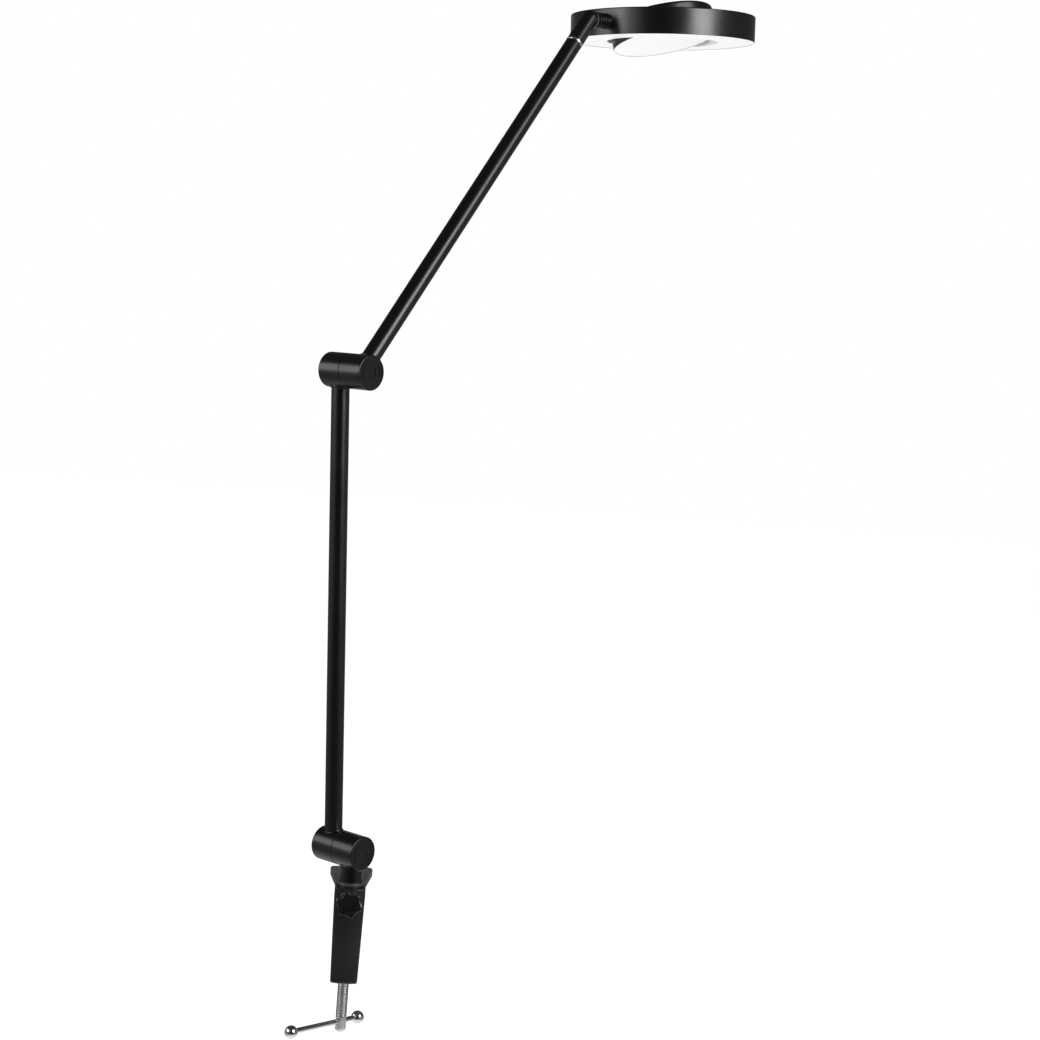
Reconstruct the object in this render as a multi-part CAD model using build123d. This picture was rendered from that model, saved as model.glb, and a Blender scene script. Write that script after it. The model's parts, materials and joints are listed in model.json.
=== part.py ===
from build123d import *
import math
import os

# Clamp-on architect desk lamp. Row frame: +Z up, +Y the way the clamp's jaws open over the desk.
# The origin is on the clamp screw's axis, at the face of the jaw pad that bears on the desk top.
# All lengths are millimetres, all angles degrees.

# ------------------------------------------------------------------ clamp
jaw_plate_t = 8.0           # upper jaw plate
jaw_width = 38.5            # upper jaw at its tip
jaw_tip = 15.0              # screw axis to the tip of the upper jaw
flare_length = 39.0         # stretch over which the upper jaw widens
jaw_parallel = 9.0          # straight sides at the jaw's tip
jaw_corner_r = 5.0
pad_t = 2.0                 # rubber pad under the upper jaw
pad_margin = 4.0            # jaw metal left bare around the pad
pad_corner_r = 2.5
screw_to_post = 44.0        # clamp screw axis to post axis
spine_cover = 18.0          # post axis to the spine's outer face
spine_width = 27.4          # at the upper jaw
spine_foot_width = 24.0     # at the lower jaw
spine_crown_r = 34.0        # outer face, rounded across
spine_edge_r = 2.2
toe_r = 2.0                 # lower back edge of the spine
frame_top_round = 0.8
jaw_low_round = 3.0         # lower edges of the upper jaw
flare_round = 16.0
throat_depth = 28.0         # screw axis to the spine's inner face
spine_waist = 24.0          # spine thickness below the post socket
throat_height = 60.0        # pad face to the lower jaw
lower_jaw_t = 16.2
lower_boss_r = 12.3         # round end of the lower jaw, about the screw
socket_boss_r = 12.0
socket_boss_h = 3.0         # above the upper jaw plate
socket_boss_round = 1.0
socket_depth = 37.0
knob_boss_r = 9.5
knob_boss_h = 3.0
knob_boss_root = 6.0        # length sunk in the rounded spine
edge_break = 0.8            # chamfer on turned edges

# ------------------------------------------------------------------ clamp screw
screw_d = 10.0
screw_length = 89.0         # hub of the foot to the rounded lower end
opening_at_rest = 42.0      # jaw pad to foot pad
foot_r = 12.5
foot_disc_t = 3.0
foot_pad_t = 1.5
foot_hub_r = 8.0
foot_hub_h = 6.0
foot_lip_t = 1.4            # metal under the screw's head
foot_pad_inset = 1.0
foot_pad_round = 0.4
button_r = 4.2              # head of the screw, caught in the foot
button_h = 3.3
button_neck_r = 3.0
screw_tip_r = 4.4           # rounding of the screw's lower end
tommy_d = 5.0
tommy_span = 76.3           # between the ball centres
tommy_offset = 18.5         # bar centre from the screw axis
tommy_from_end = 10.5       # bar axis to the screw's lower end
tommy_turn = 39.5           # bar direction from +X
ball_d = 12.0

# ------------------------------------------------------------------ post lock
post_pin_r = 6.5
post_pin_chamfer = 1.0
post_pin_gap = 2.0          # under the pin, in the socket
bush_wall = 1.95
bush_flange_r = 10.6
bush_flange_t = 1.0
stud_r = 3.0
plug_length = 4.0
plug_seat_gap = 0.1         # plug face to the post when tight
knob_r = 11.7
knob_t = 10.0
knob_lobes = 6
knob_scallop_r = 9.0
knob_valley_r = 9.6
knob_lobe_round = 1.5
knob_lobe_turn = 45.0
knob_hub_r = 8.0
knob_hub_h = 2.4
knob_gap = 0.6              # knob hub to its boss when tight
knob_dish_r = 5.5
knob_dish = 0.8
knob_round = 1.0
stud_in_knob = 7.4

# ------------------------------------------------------------------ arms and knuckles
hinge_height = 40.0         # lower hinge axis over the jaw pad's face
post_stem_r = 10.0
swing = -44.455             # arm plane, turned from the jaws' direction
tube_d = 16.0
tube_wall = 1.2
tube_seat = 11.5            # end of a tube from its hinge axis
arm_length = 426.2          # hinge to hinge
lower_lean = -4.287         # from upright, forward positive
upper_lean = 37.928
upper_tube_end = 405.8      # from the upper hinge axis
drum_d = 30.8
drum_half = 25.15           # length of each knuckle half
drum_wall = 2.2
drum_end_r = 0.9
split_gap = 0.3
web_t = 3.5
washer_t = 1.5
washer_r = 12.0
washer_room = 0.2
pivot_r = 5.0
pivot_bore_r = 3.5
pivot_flange_r = 8.0
pivot_flange_t = 2.5
spring_washer_r = 8.5
spring_washer_t = 1.0
nut_across = 14.0
nut_t = 5.0
pivot_tail = 1.0            # thread past the nut
cap_t = 3.2
cap_recess = 0.3
cap_groove_r = 10.0
cap_groove_w = 0.8
cap_groove_depth = 0.4
cap_dish_r = 5.5
cap_dish = 0.5
wire_r = 2.2
wire_end = 9.0              # end of a wire from the hinge axis

# ------------------------------------------------------------------ power inlet
inlet_barrel_r = 4.5
inlet_bezel_r = 6.0
inlet_bezel_t = 1.6
inlet_flat = 14.0           # spot face from the hinge axis
inlet_depth = 9.0
inlet_base_t = 1.5
inlet_bore_r = 2.75
inlet_pin_r = 1.0
inlet_pin_recess = 1.0

# ------------------------------------------------------------------ head joint
collar_t = 2.8              # bright ring at the end of the upper tube
collar_proud = 0.15
elbow_length = 31.5         # collar to the ball's centre
elbow_nose = 5.0            # ball centre to the nose face
nose_round = 1.2
spigot_r = 4.0
spigot_bore_r = 2.4
tip_plug_length = 12.0
clip_t = 1.2
clip_r = 6.0
seat_spring_t = 0.9
seat_spring_count = 3
seat_spring_r = 5.9
seat_h = 8.2
seat_rim = 5.15             # rim of the seat to the ball's centre
ball_r = 6.25
elbow_bore_r = 6.5
mouth_r = 6.2               # cone in the nose, at its face
mouth_throat_r = 4.5
mouth_depth = 1.5
neck_r = 2.6
neck_bore_r = 1.5
sleeve_start = 8.5          # from the ball's centre
sleeve_r = 7.2
sleeve_rib_count = 4
sleeve_rib_w = 2.4
sleeve_rib_round = 0.7
sleeve_groove_depth = 0.9
head_tilt = 5.08            # head's radial axis over the horizontal
neck_reach = 24.3           # ball centre to the ring's band
roll_gap = 0.1
roll_boss_r = 7.5
roll_boss_h = 1.1           # outside the band
roll_boss_round = 0.6
roll_pad_h = 2.2            # inside the band
roll_washer_r = 6.0
roll_washer_t = 1.0
roll_nut_across = 9.0
roll_nut_t = 3.0
neck_tail = 1.0             # thread past the nut

# ------------------------------------------------------------------ ring and inner disc
ring_r = 91.5
ring_band_w = 36.5          # hole to outer face
ring_h = 25.2
shell_wall = 1.6
ring_edge_r = 1.2
shell_lip = 0.4             # chamfer round a shell's open edge
diffuser_t = 2.5
diffuser_recess = 0.3
liner_t = 1.0               # opal wall inside the ring's hole
liner_drop = 3.0            # black rim left above the liner
board_t = 1.6
board_drop = 8.35           # inside of the top to the LED board
ring_board_out = 10.5       # board's outer edge inside the band's face
ring_board_in = 8.5         # board's inner edge outside the hole
led_length = 3.5
led_width = 2.8
led_t = 0.8
led_edge = 3.25             # chip's middle to the board's edge
ring_led_counts = (16, 24)
disc_led_counts = (6, 12, 18)
boss_r = 3.0
screw_shank_r = 1.25
screw_head_r = 2.5
screw_head_h = 1.5
screw_grip = 5.0            # thread in the boss
ring_screw_count = 6
disc_gap = 3.6              # disc to the ring's hole
disc_h = 25.6
disc_rise = 0.4             # middle of the disc above its pins
disc_edge_r = 2.5
disc_tilt = 14.2            # right edge up
disc_board_out = 11.4       # board's edge inside the disc's face
disc_screw_count = 4
disc_pin_r = 2.5
disc_pin_head_r = 4.2
disc_pin_head_t = 1.8
disc_pin_boss_r = 5.5
disc_pin_boss_l = 7.4       # boss inside the disc's face
bearing_r = 4.0
bearing_boss_r = 6.0
bearing_l = 5.5
spacer_r = 4.2
spacer_gap = 0.2

# ------------------------------------------------------------------ switch and driver
button_at = 25.0            # round the ring from the ball joint
button_cap_r = 4.8
button_proud = 1.25
button_flange_r = 6.0
button_flange_t = 1.3
button_stem_r = 1.4
button_travel = 0.8
button_gap = 0.2            # round the cap, each side
button_round = 0.5
switch_h = 3.0
switch_side = 6.0
driver_length = 38.0
driver_width = 15.0
driver_t = 1.2
driver_drop = 5.95          # inside of the top to the driver board
driver_post_r = 2.4
driver_screw_r = 1.0
driver_screw_head_r = 1.9
driver_screw_head_h = 0.9
driver_screw_grip = 3.6
driver_post_at = 16.0       # from the button's axis
coil_r = 3.4
coil_h = 3.6
coil_at = 9.0
can_r = 2.6
can_h = 4.4
can_at = -9.0

# ------------------------------------------------------------------ named clearances
run = 0.05                  # running fit, each side
slip = 0.05                 # between faces that turn on each other
shoulder = 0.1              # under a shoulder that turns

# ------------------------------------------------------------------ worked-out places
tube_r = tube_d / 2
bore_in_tube = tube_r - tube_wall
drum_r = drum_d / 2
cavity_r = drum_r - drum_wall
plate_top = pad_t + jaw_plate_t
socket_top = plate_top + socket_boss_h
socket_bore_r = post_pin_r + run + bush_wall
shoulder_z = socket_top + bush_flange_t + shoulder
post_y = -screw_to_post
spine_out = post_y - spine_cover
spine_in = -throat_depth
flare_end = jaw_tip - jaw_parallel
flare_start = flare_end - flare_length
frame_bottom = -throat_height - lower_jaw_t
knob_face = spine_out - knob_boss_h
plug_end = post_pin_r + plug_seat_gap + plug_length
knob_start = spine_cover + knob_boss_h + knob_gap
foot_top = -opening_at_rest
hub_bottom = foot_top - foot_pad_t - foot_disc_t - foot_hub_h
foot_lip = hub_bottom + foot_lip_t
screw_top = hub_bottom - shoulder
screw_end = screw_top - screw_length
tommy_z = screw_end + tommy_from_end
elbow_start = upper_tube_end + collar_t + shoulder
ball_at = elbow_start + elbow_length
seat_springs_h = seat_spring_count * (seat_spring_t + slip)
elbow_plug_h = elbow_length - seat_rim - seat_h - seat_springs_h
spigot_end = upper_tube_end - tip_plug_length - slip - clip_t - 3 * slip
ring_hole_r = ring_r - ring_band_w
ring_top_in = ring_h / 2 - shell_wall
ring_sheet_top = diffuser_recess + diffuser_t - ring_h / 2
liner_top = ring_h / 2 - liner_drop
liner_out = ring_hole_r + liner_t + run
ring_board_top = ring_top_in - board_drop
disc_top_in = disc_rise + disc_h / 2 - shell_wall
disc_low = disc_rise - disc_h / 2
disc_board_top = disc_top_in - board_drop
sleeve_end = neck_reach - roll_boss_h - roll_gap
roll_pad_face = ring_r - shell_wall - roll_pad_h
driver_top = ring_top_in - driver_drop
head_reach = neck_reach + ring_r
ring_board_r = ring_r - ring_board_out
ring_board_hole_r = ring_hole_r + ring_board_in
ring_screw_circle_r = (ring_board_r + ring_board_hole_r) / 2
ring_led_radii = (ring_board_hole_r + led_edge, ring_board_r - led_edge)
disc_r = ring_hole_r - disc_gap
disc_board_r = disc_r - disc_board_out
disc_led_outer_r = disc_board_r - led_edge
disc_led_middle_r = disc_led_outer_r * 2 / 3
disc_led_radii = (disc_led_outer_r / 3, disc_led_middle_r, disc_led_outer_r)
disc_screw_circle_r = (disc_led_middle_r + disc_led_outer_r) / 2
disc_pin_boss_in = disc_r - disc_pin_boss_l
bearing_end = ring_hole_r + bearing_l

near = 0.1                  # an edge this close to a level counts as lying on it
BASE = (Align.CENTER, Align.CENTER, Align.MIN)
ALONG_X = Rot(0, 90, 0)
ALONG_Y = Rot(-90, 0, 0)
BACKWARD = Rot(90, 0, 0)
HANGING = 180               # lean of a piece that hangs straight down


def rod(radius, start, end):
    """Round bar on the local Z axis."""
    return Pos(0, 0, start) * Cylinder(radius, end - start, align=BASE)


def pipe(outer, inner, start, end):
    """Round tube on the local Z axis."""
    return rod(outer, start, end) - rod(inner, start, end)


def cone(start_r, end_r, start, end):
    """Tapered round bar on the local Z axis."""
    return Pos(0, 0, start) * Cone(start_r, end_r, end - start, align=BASE)


def hex_nut(across, bore_r, start, end):
    """Hexagon nut on the local Z axis."""
    blank = extrude(RegularPolygon(across / 2, 6, major_radius=False), end - start)
    return Pos(0, 0, start) * blank - rod(bore_r, start, end)


def group(solids):
    """Several loose solids in one node."""
    return Compound(children=list(solids))


def top_edges(shape):
    """Edges on the highest level of a shape."""
    return shape.edges().group_by(Axis.Z)[-1]


# ------------------------------------------------------------------ clamp pieces
def leans(edge):
    """True for an edge that climbs more than it runs level."""
    box = edge.bounding_box().size
    return box.Z > box.X + box.Y


def spine_and_lower_jaw():
    """C-shaped side profile, narrowed towards the lower jaw."""
    waist_in = spine_out + spine_waist
    shelf = -socket_depth + socket_top
    side = [
        (spine_out, plate_top),
        (spine_out, frame_bottom),
        (0, frame_bottom),
        (0, -throat_height),
        (waist_in, -throat_height),
        (waist_in, shelf - (spine_in - waist_in)),
        (spine_in, shelf),
        (spine_in, plate_top),
    ]
    profile = make_face(Plane.YZ * Polyline(*side, close=True))
    body = extrude(profile, spine_width / 2, both=True)
    half_top = spine_width / 2
    half_foot = spine_foot_width / 2
    front = make_face(
        Plane.XZ
        * Polyline(
            (-half_top, plate_top),
            (half_top, plate_top),
            (half_top, pad_t),
            (half_foot, frame_bottom),
            (-half_foot, frame_bottom),
            (-half_top, pad_t),
            close=True,
        )
    )
    body = body & extrude(front, 2 * screw_to_post + 2 * spine_cover, both=True)
    crown_y = spine_out + spine_crown_r
    crown = Pos(0, crown_y, 0) * Circle(spine_crown_r)
    crown += Pos(0, crown_y + screw_to_post, 0) * Rectangle(2 * spine_crown_r, 2 * screw_to_post)
    body = body & extrude(crown, 2 * throat_height, both=True)
    uprights = body.edges().filter_by(lambda e: spine_out < e.center().Y < post_y and leans(e))
    body = fillet(uprights, spine_edge_r)
    toe = body.edges().filter_by(
        lambda e: abs(e.center().Z - frame_bottom) < near and e.center().Y < post_y
    )
    return fillet(toe, toe_r)


def jaw_outline(start, margin):
    """Plan of the upper jaw from the given place on, the margin inside its edge."""
    half_root = spine_width / 2 - margin
    half_tip = jaw_width / 2 - margin
    slope = (half_tip - half_root) / flare_length
    half_start = half_root + slope * max(start - flare_start, 0)
    side = [(half_start, start), (half_tip, flare_end), (half_tip, jaw_tip - margin)]
    if start < flare_start:
        side.insert(1, (half_root, flare_start))
    left = [(-x, y) for x, y in reversed(side)]
    return make_face(Polyline(*side, *left, close=True))


def upper_jaw_plate():
    """Flat plate that widens from the spine to the jaw's tip."""
    plate = Pos(0, 0, pad_t) * extrude(jaw_outline(post_y, 0), jaw_plate_t)
    for place, radius in ((flare_start, flare_round), (flare_end, flare_round), (jaw_tip, jaw_corner_r)):
        uprights = plate.edges().filter_by(Axis.Z)
        plate = fillet(uprights.filter_by(lambda e: abs(e.center().Y - place) < near), radius)
    low = plate.edges().group_by(Axis.Z)[0].filter_by(lambda e: e.center().Y > post_y + near)
    return fillet(low, jaw_low_round)


def clamp_frame():
    """Cast clamp: spine, both jaws, post socket and knob boss."""
    at_post = Pos(0, post_y, 0)
    body = spine_and_lower_jaw() + upper_jaw_plate()
    body = fillet(top_edges(body), frame_top_round)
    body += rod(lower_boss_r, frame_bottom, -throat_height)
    socket_boss = rod(socket_boss_r, pad_t, socket_top)
    body += at_post * fillet(top_edges(socket_boss), socket_boss_round)
    knob_boss = Pos(0, knob_face, 0) * ALONG_Y * rod(knob_boss_r, 0, knob_boss_h + knob_boss_root)
    rim = knob_boss.edges().group_by(Axis.Y)[0]
    body += chamfer(rim, edge_break)
    body -= at_post * rod(socket_bore_r, socket_top - socket_depth, socket_top)
    body -= at_post * BACKWARD * rod(stud_r + run, 0, spine_cover + knob_boss_h)
    return body - rod(screw_d / 2 + run, frame_bottom, -throat_height)


def jaw_pad():
    """Rubber pad on the underside of the upper jaw."""
    pad = extrude(jaw_outline(spine_in, pad_margin), pad_t)
    uprights = pad.edges().filter_by(Axis.Z)
    return fillet(uprights.filter_by(lambda e: e.center().Y > flare_end + near), pad_corner_r)


def socket_bush():
    """Flanged plastic bush that the post turns in, pierced for the lock plug."""
    outer_r = post_pin_r + run + bush_wall
    bush = rod(outer_r, socket_top - socket_depth, socket_top)
    bush += rod(bush_flange_r, socket_top, socket_top + bush_flange_t)
    bush -= rod(post_pin_r + run, socket_top - socket_depth, socket_top + bush_flange_t)
    return bush - BACKWARD * rod(stud_r + run, 0, outer_r + bush_wall)


def swivel_foot():
    """Steel disc with a hub that holds the screw's button head."""
    disc_top = foot_top - foot_pad_t
    disc = rod(foot_r, disc_top - foot_disc_t, disc_top)
    disc = chamfer(disc.edges().group_by(Axis.Z)[0], edge_break)
    hub = rod(foot_hub_r, hub_bottom, disc_top - foot_disc_t)
    foot = disc + hub
    foot -= rod(button_neck_r + run, hub_bottom, foot_lip)
    return foot - rod(button_r + run, foot_lip, foot_lip + button_h + 2 * shoulder)


def foot_pad():
    """Rubber facing on the foot."""
    pad = rod(foot_r - foot_pad_inset, foot_top - foot_pad_t, foot_top)
    return fillet(top_edges(pad), foot_pad_round)


def clamp_screw():
    """Screw with a button head above, a cross hole and a rounded end below."""
    head = foot_lip + shoulder
    shank = rod(screw_d / 2, screw_end, screw_top)
    shank = fillet(shank.edges().group_by(Axis.Z)[0], screw_tip_r)
    screw = shank + rod(button_neck_r, screw_top, head) + rod(button_r, head, head + button_h)
    cross = Pos(0, 0, tommy_z) * Rot(0, 0, tommy_turn) * ALONG_X
    return screw - cross * rod(tommy_d / 2 + run, -screw_d, screw_d)


def tommy_frame():
    """Local X along the tommy bar, origin at the bar's middle."""
    return Pos(0, 0, tommy_z) * Rot(0, 0, tommy_turn) * Pos(-tommy_offset, 0, 0)


def tommy_bar():
    """Plain bar between the balls."""
    half = tommy_span / 2
    return tommy_frame() * ALONG_X * rod(tommy_d / 2, -half, half)


def tommy_balls():
    """Two bored balls on the ends of the bar."""
    bored = Sphere(ball_d / 2) - ALONG_X * rod(tommy_d / 2, -ball_d, 0)
    ends = []
    for side in (1, -1):
        turn = Rot(0, 0, 0 if side > 0 else 180)
        ends.append(tommy_frame() * Pos(side * tommy_span / 2, 0, 0) * turn * bored)
    return group(ends)


# ------------------------------------------------------------------ post lock pieces
def lock_plug():
    """Brass pressure plug with a hollow face that fits the post."""
    plug = BACKWARD * rod(stud_r, 0, plug_end)
    return plug - rod(post_pin_r + plug_seat_gap, -2 * stud_r, 2 * stud_r)


def lock_stud():
    """Threaded stud from the plug into the knob."""
    return BACKWARD * rod(stud_r, plug_end + slip, knob_start + stud_in_knob)


def lock_knob():
    """Lobed hand knob."""
    outline = Circle(knob_r)
    scallop_at = knob_valley_r + knob_scallop_r
    for spot in PolarLocations(scallop_at, knob_lobes, start_angle=knob_lobe_turn + 180 / knob_lobes):
        outline -= spot * Circle(knob_scallop_r)
    outline = fillet(outline.vertices(), knob_lobe_round)
    hub_top = knob_start + knob_hub_h
    top = hub_top + knob_t
    star = Pos(0, 0, hub_top) * extrude(outline, knob_t)
    rims = star.edges().group_by(Axis.Z)
    star = fillet(rims[0] + rims[-1], knob_round)
    star += rod(knob_hub_r, knob_start, hub_top)
    star -= rod(knob_dish_r, top - knob_dish, top)
    return BACKWARD * (star - rod(stud_r, knob_start, knob_start + stud_in_knob))


# ------------------------------------------------------------------ knuckle pieces
# A knuckle half has local Z out along the hinge axis from the split plane, and local X along the
# tube or post that the half carries.
def knuckle_half(parent):
    """Drum half with a web at the split and a seat for a tube."""
    face = washer_t / 2 if parent else washer_t / 2 + slip
    bore_r = pivot_r if parent else pivot_r + run
    drum = rod(drum_r, split_gap / 2, drum_half)
    drum = fillet(top_edges(drum), drum_end_r)
    drum = chamfer(drum.edges().group_by(Axis.Z)[0], split_gap)
    drum -= rod(washer_r + washer_room, 0, face)
    drum -= rod(bore_r, 0, drum_half)
    drum -= rod(cavity_r, face + web_t, drum_half)
    side = Pos(0, 0, drum_half / 2) * ALONG_X
    drum -= side * rod(tube_r, tube_seat, drum_d)
    return drum - side * rod(bore_in_tube, 0, tube_seat)


def end_cap():
    """Pressed-in cover with a turned groove and dish."""
    top = drum_half - cap_recess
    cap = rod(cavity_r, top - cap_t, top)
    groove_in = cap_groove_r - cap_groove_w / 2
    groove_out = cap_groove_r + cap_groove_w / 2
    cap -= pipe(groove_out, groove_in, top - cap_groove_depth, top)
    return cap - rod(cap_dish_r, top - cap_dish, top)


def pivot_tube():
    """Hollow flanged bolt: the hinge pin and the way through for the wire."""
    web_out = washer_t / 2 + web_t
    tail = web_out + 2 * slip + spring_washer_t + nut_t + pivot_tail
    pin = rod(pivot_r, -tail, web_out + pivot_flange_t)
    pin += rod(pivot_flange_r, web_out, web_out + pivot_flange_t)
    return pin - rod(pivot_bore_r, -tail, web_out + pivot_flange_t)


def friction_washer():
    """Fibre washer between the two webs."""
    return pipe(washer_r, pivot_r, -washer_t / 2, washer_t / 2)


def spring_washer():
    """Washer that keeps the joint squeezed."""
    top = -(washer_t / 2 + web_t + 2 * slip)
    return pipe(spring_washer_r, pivot_r, top - spring_washer_t, top)


def pivot_nut():
    """Lock nut on the hollow bolt."""
    top = -(washer_t / 2 + web_t + 2 * slip + spring_washer_t)
    return hex_nut(nut_across, pivot_r, top - nut_t, top)


def arm_tube(end):
    """Round tube, from its seat in a drum to the given distance from the hinge axis."""
    tube = pipe(tube_r, bore_in_tube, tube_seat, end)
    return Pos(0, 0, drum_half / 2) * ALONG_X * tube


def arm_wire(end):
    """Two-core lead that lies along the inside of a tube."""
    offset = bore_in_tube - wire_r - run
    return Pos(0, 0, drum_half / 2) * ALONG_X * (Pos(0, offset, 0) * rod(wire_r, wire_end, end))


def knuckle_frame(place, side, lean):
    """Where a knuckle half stands: side +1 is the near end, lean is the carried piece's."""
    turn = math.radians(lean)
    along = (0, math.sin(turn), math.cos(turn))
    return place * Location(Plane(origin=(0, 0, 0), x_dir=along, z_dir=(side, 0, 0)))


def post():
    """Post: pin in the clamp's bush, stem, and a spigot up into the drum."""
    drum = Pos(0, 0, hinge_height) * Rot(0, 0, swing) * ALONG_X * rod(drum_r, -drum_half, drum_half)
    stem = rod(post_stem_r, shoulder_z, hinge_height) - drum
    spigot_top = hinge_height - tube_seat
    pin_bottom = socket_top - socket_depth + post_pin_gap
    pin = rod(post_pin_r, pin_bottom, shoulder_z)
    pin = chamfer(pin.edges().group_by(Axis.Z)[0], post_pin_chamfer)
    return pin + stem + rod(tube_r, shoulder_z, spigot_top)


def inlet_spot_face():
    """What the drum loses for the power inlet."""
    side = Pos(0, 0, drum_half / 2) * ALONG_Y
    return side * (rod(inlet_barrel_r, 0, drum_r) + rod(inlet_bezel_r, inlet_flat, drum_d))


def power_inlet():
    """Panel socket for a round low-voltage plug."""
    face = inlet_flat + inlet_bezel_t
    bottom = face - inlet_depth
    socket = rod(inlet_barrel_r, bottom - inlet_base_t, inlet_flat) + rod(inlet_bezel_r, inlet_flat, face)
    socket -= rod(inlet_bore_r, bottom, face)
    socket += rod(inlet_pin_r, bottom, face - inlet_pin_recess)
    return Pos(0, 0, drum_half / 2) * ALONG_Y * socket


# ------------------------------------------------------------------ head joint pieces
# The upper tube's pieces have local Z along the tube, from the upper hinge axis.
def tip_plug():
    """Plug in the end of the upper tube, bored for the spigot."""
    return pipe(bore_in_tube, spigot_r + run, upper_tube_end - tip_plug_length, upper_tube_end)


def tip_collar():
    """Bright ring between the tube and the elbow."""
    return pipe(tube_r + collar_proud, spigot_r + run, upper_tube_end, upper_tube_end + collar_t)


def elbow_spigot():
    """Hollow spigot that the head turns on, screwed into the elbow."""
    top = elbow_start + elbow_plug_h
    spigot = rod(spigot_r, spigot_end, elbow_start) + rod(elbow_bore_r, elbow_start, top)
    return spigot - rod(spigot_bore_r, spigot_end, top)


def spigot_clip():
    """Ring that keeps the spigot in the tube."""
    top = upper_tube_end - tip_plug_length - slip
    return pipe(clip_r, spigot_r, top - clip_t, top)


def seat_springs():
    """Spring washers under the ball's seat."""
    start = elbow_start + elbow_plug_h
    pitch = seat_spring_t + slip
    stack = []
    for i in range(seat_spring_count):
        low = start + i * pitch
        stack.append(pipe(seat_spring_r, spigot_bore_r, low, low + seat_spring_t))
    return group(stack)


def ball_seat():
    """Nylon cup that presses on the ball."""
    start = elbow_start + elbow_plug_h + seat_springs_h
    cup = rod(elbow_bore_r - run, start, start + seat_h)
    cup -= Pos(0, 0, ball_at) * Sphere(ball_r + run)
    return cup - rod(spigot_bore_r, start, start + seat_h)


def head_elbow():
    """Hollow elbow, with the ball's centre as origin and local Y out of the nose."""
    arm = Rot(-upper_lean, 0, 0)
    body = arm * rod(tube_r, -elbow_length, 0) + Sphere(tube_r)
    nose = rod(tube_r, 0, elbow_nose)
    body += ALONG_Y * fillet(top_edges(nose), nose_round)
    body -= ALONG_Y * rod(tube_d, elbow_nose, tube_d)
    body -= arm * rod(elbow_bore_r, -elbow_length, 0)
    body -= Sphere(ball_r + run)
    mouth = cone(mouth_throat_r, mouth_r, elbow_nose - mouth_depth, elbow_nose)
    return body - ALONG_Y * mouth


# The head's pieces have the ball's centre as origin and local Y along the neck.
def ball_stud():
    """Ball with a hollow threaded neck that reaches into the ring."""
    end = head_reach - roll_pad_face + slip + roll_washer_t + roll_nut_t + neck_tail
    stud = Sphere(ball_r) + ALONG_Y * rod(neck_r, 0, end)
    return stud - ALONG_Y * rod(neck_bore_r, -ball_r, end)


def ribbed_sleeve():
    """Ribbed grip between the elbow and the ring."""
    body = rod(sleeve_r - sleeve_groove_depth, sleeve_start, sleeve_end)
    pitch = (sleeve_end - sleeve_start - sleeve_rib_w) / (sleeve_rib_count - 1)
    for i in range(sleeve_rib_count):
        low = sleeve_start + i * pitch
        rib = rod(sleeve_r, low, low + sleeve_rib_w)
        body += fillet(rib.edges().filter_by(GeomType.CIRCLE), sleeve_rib_round)
    return ALONG_Y * (body - rod(neck_r, sleeve_start, sleeve_end))


def roll_washer():
    """Spring washer inside the band."""
    start = head_reach - roll_pad_face + slip
    return ALONG_Y * pipe(roll_washer_r, neck_r, start, start + roll_washer_t)


def roll_nut():
    """Lock nut inside the band."""
    start = head_reach - roll_pad_face + slip + roll_washer_t
    return ALONG_Y * hex_nut(roll_nut_across, neck_r, start, start + roll_nut_t)


# ------------------------------------------------------------------ ring pieces
# The ring's pieces have its centre as origin, local Z along its axis and -Y towards the ball.
def button_spot():
    """Centre of the switch, on the middle of the channel."""
    middle = (ring_r + ring_hole_r) / 2
    return Rot(0, 0, button_at) * Pos(0, -middle, 0)


def screw_bosses(circle_r, count, bottom, top):
    """Round bosses for the board screws, bored for the threads."""
    boss = pipe(boss_r, screw_shank_r, bottom, top)
    return [spot * boss for spot in PolarLocations(circle_r, count, start_angle=180 / count)]


def driver_posts():
    """Two round bosses that carry the driver board."""
    boss = pipe(driver_post_r, driver_screw_r, driver_top, ring_top_in)
    return [button_spot() * Pos(side * driver_post_at, 0, 0) * boss for side in (-1, 1)]


def ring_housing():
    """Channel-shaped ring, open below, with the neck boss and the disc's bearing bosses."""
    blank = rod(ring_r, -ring_h / 2, ring_h / 2)
    blank = fillet(top_edges(blank), ring_edge_r)
    blank = chamfer(blank.edges().group_by(Axis.Z)[0], shell_lip)
    neck_boss = -ring_r - roll_boss_h
    boss_out = rod(roll_boss_r, 0, roll_boss_h + shell_wall)
    boss_out = fillet(boss_out.edges().group_by(Axis.Z)[0], roll_boss_round)
    blank += Pos(0, neck_boss, 0) * ALONG_Y * boss_out
    blank -= rod(ring_hole_r, -ring_h / 2, ring_h / 2)
    blank -= rod(liner_out, -ring_h / 2, liner_top)
    blank -= rod(ring_r - shell_wall, -ring_h / 2, ring_sheet_top)
    channel = pipe(ring_r - shell_wall, liner_out + shell_wall, -ring_h / 2, ring_top_in)
    body = blank - channel
    pad = Pos(0, -ring_r + shell_wall / 2, 0) * ALONG_Y
    body += pad * rod(roll_boss_r, 0, shell_wall / 2 + roll_pad_h)
    for turn in (0, 180):
        boss = ALONG_Y * rod(bearing_boss_r, liner_out + shell_wall / 2, bearing_end)
        body += Rot(0, 0, turn) * boss
    bosses = screw_bosses(ring_screw_circle_r, ring_screw_count, ring_board_top, ring_top_in)
    for boss in bosses + driver_posts():
        body += boss
    body -= ALONG_Y * rod(neck_r + run, -ring_r - 2 * roll_boss_h, shell_wall - roll_pad_face)
    body -= ALONG_Y * rod(bearing_r, -bearing_end - shell_wall, bearing_end + shell_wall)
    return body - button_spot() * rod(button_cap_r + button_gap, ring_top_in, ring_h)


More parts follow.
